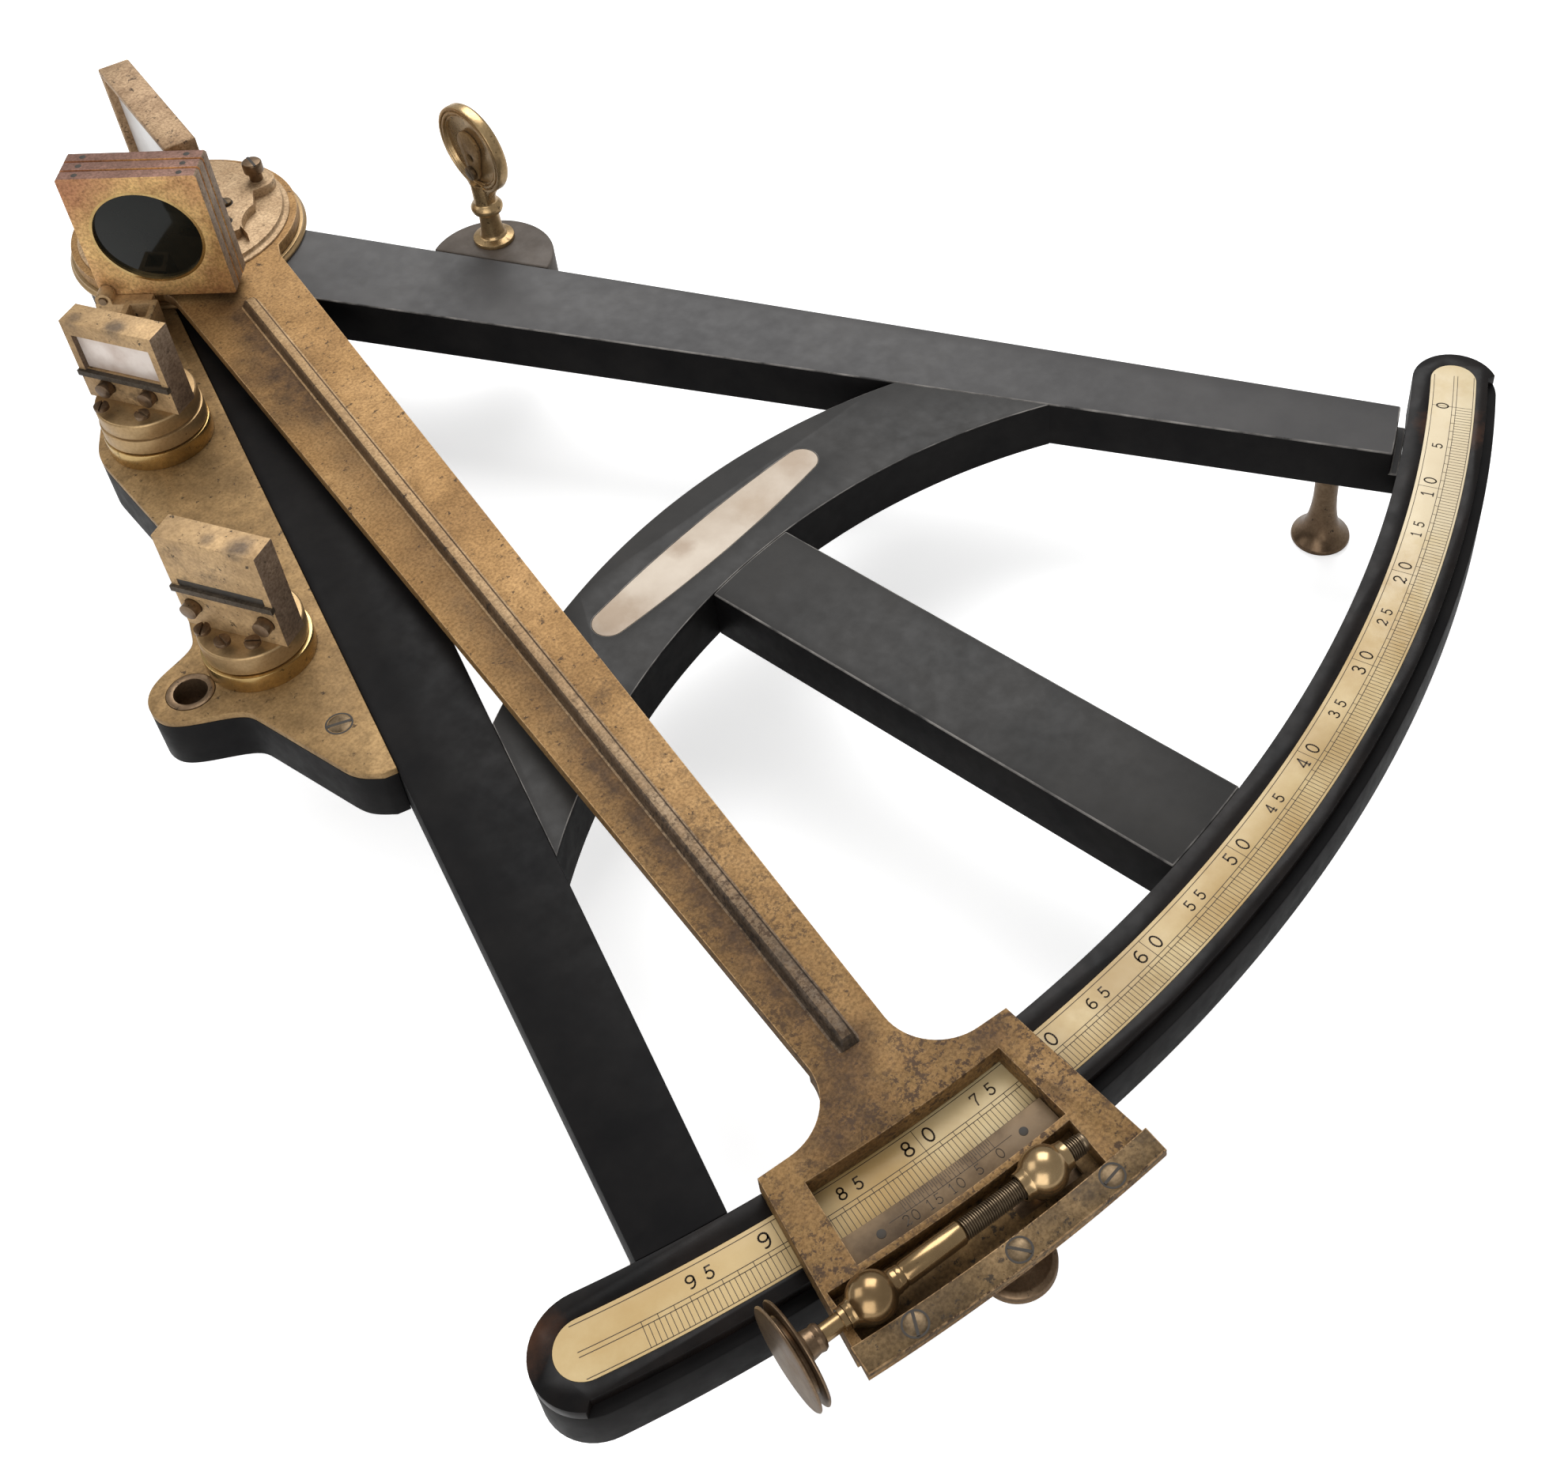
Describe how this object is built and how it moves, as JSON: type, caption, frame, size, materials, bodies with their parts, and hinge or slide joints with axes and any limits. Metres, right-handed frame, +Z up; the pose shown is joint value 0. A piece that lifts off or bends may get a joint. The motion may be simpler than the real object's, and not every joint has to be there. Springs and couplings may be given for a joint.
{
  "type": "octant",
  "caption": "Navigation octant: ebony sector frame with an ivory scale, a swinging brass index arm with mirror, shades, horizon glasses and a slow-motion screw.",
  "frame": {"origin": "middle of the outline in plan, at the flat ends of the feet", "axes": "+Z up out of the face that carries the scale, +Y from the arc towards the pivot of the index arm, +X to the right seen from above"},
  "size_m": [0.3134, 0.3834, 0.0834],
  "materials": {
    "ebony": "dark ebony, lightly polished",
    "ivory": "aged ivory, satin",
    "vernier_ivory": "browned ivory, satin",
    "plate_brass": "aged brass, satin",
    "arm_brass": "aged brass with dark specks",
    "frame_brass": "aged brass, dull",
    "polished_brass": "dark brass, polished",
    "dark_brass": "darkened brass",
    "steel_screws": "dull steel",
    "silvered_glass": "old silvered glass",
    "dark_glass": "nearly black shade glass"
  },
  "bodies": {
    "frame": {"arc_limb": "ebony", "right_limb": "ebony", "left_limb": "ebony", "cross_brace": "ebony", "centre_strut": "ebony", "sight_boss": "ebony", "horizon_platform": "ebony", "scale_plate": "ivory", "name_plate": "ivory", "horizon_plate": "plate_brass", "plate_screws": "steel_screws", "pivot_plate": "plate_brass", "centre_bush": "dark_brass", "feet": "polished_brass", "front_shade_socket": "plate_brass", "back_shade_socket": "plate_brass", "fore_base_ring": "plate_brass", "back_base_ring": "plate_brass", "sight_post": "polished_brass", "shutter_screw": "steel_screws"},
    "index_arm": {"index_arm": "arm_brass", "arm_strip": "arm_brass", "strip_screws": "steel_screws", "vernier_plate": "vernier_ivory", "vernier_pins": "dark_brass", "arm_axle": "dark_brass", "axle_washer": "plate_brass", "axle_nut": "plate_brass", "mirror_base": "arm_brass", "mirror_frame": "frame_brass", "index_mirror": "silvered_glass", "mirror_screws": "steel_screws", "mirror_adjusting_screw": "dark_brass", "fixed_ball": "polished_brass"},
    "tangent_screw": {"tangent_screw": "polished_brass", "tangent_knob": "polished_brass"},
    "clamp": {"clamp_block": "dark_brass", "clamp_ball": "polished_brass", "clamp_jaw": "dark_brass"},
    "clamp_screw": {"clamp_screw": "polished_brass"},
    "shade_bracket": {"shade_bracket": "frame_brass", "shade_pin": "dark_brass"},
    "rear_shade": {"rear_shade_frame": "frame_brass", "rear_shade_glass": "dark_glass"},
    "middle_shade": {"middle_shade_frame": "frame_brass", "middle_shade_glass": "dark_glass"},
    "front_shade": {"front_shade_frame": "frame_brass", "front_shade_glass": "dark_glass"},
    "fore_glass": {"fore_turntable": "plate_brass", "fore_frame": "frame_brass", "fore_mirror": "silvered_glass", "fore_screws": "steel_screws", "fore_lever": "dark_brass"},
    "back_glass": {"back_turntable": "plate_brass", "back_frame": "frame_brass", "back_mirror": "silvered_glass", "back_screws": "steel_screws", "back_lever": "dark_brass"},
    "sight_shutter": {"sight_shutter": "polished_brass"}
  },
  "joints": [
    {"name": "arm_swing", "type": "hinge", "parent": "frame", "child": "index_arm", "pos_m": [0, 0.1617, 0.04], "axis": [0, 0, 1], "range_deg": [-7, 40.05]},
    {"name": "tangent_turn", "type": "hinge", "parent": "index_arm", "child": "tangent_screw", "pos_m": [-0.09212, -0.17389, 0.0462], "axis": [0.9643, -0.2647, 0], "range_deg": [-1290, 1290]},
    {"name": "slow_motion", "type": "hinge", "parent": "index_arm", "child": "clamp", "pos_m": [0, 0.1617, 0.04], "axis": [0, 0, 1], "range_deg": [-0.6, 0.6]},
    {"name": "clamp_turn", "type": "hinge", "parent": "clamp", "child": "clamp_screw", "pos_m": [-0.08572, -0.17513, 0.025], "axis": [0, 0, 1], "range_deg": [-360, 360]},
    {"name": "shade_lift", "type": "slide", "parent": "frame", "child": "shade_bracket", "axis": [0, 0, 1], "range_m": [0, 0.018]},
    {"name": "rear_shade_swing", "type": "hinge", "parent": "shade_bracket", "child": "rear_shade", "pos_m": [-0.0255, 0.15341, 0.0497], "axis": [-0.7749, -0.632, 0], "range_deg": [0, 90]},
    {"name": "middle_shade_swing", "type": "hinge", "parent": "shade_bracket", "child": "middle_shade", "pos_m": [-0.0255, 0.15341, 0.0497], "axis": [-0.7749, -0.632, 0], "range_deg": [0, 90]},
    {"name": "front_shade_swing", "type": "hinge", "parent": "shade_bracket", "child": "front_shade", "pos_m": [-0.0255, 0.15341, 0.0497], "axis": [-0.7749, -0.632, 0], "range_deg": [0, 90]},
    {"name": "fore_glass_turn", "type": "hinge", "parent": "frame", "child": "fore_glass", "pos_m": [-0.0525, 0.1029, 0.042], "axis": [0, 0, 1], "range_deg": [-6, 6]},
    {"name": "back_glass_turn", "type": "hinge", "parent": "frame", "child": "back_glass", "pos_m": [-0.082, 0.029, 0.042], "axis": [0, 0, 1], "range_deg": [-6, 6]},
    {"name": "shutter_swing", "type": "hinge", "parent": "frame", "child": "sight_shutter", "pos_m": [0.0479, 0.097, 0.062], "axis": [-0.9962, 0.0872, 0], "range_deg": [-38, 38]}
  ],
  "couplings": [
    {"joint": "slow_motion", "follows": "tangent_turn", "ratio": -0.00045734}
  ]
}
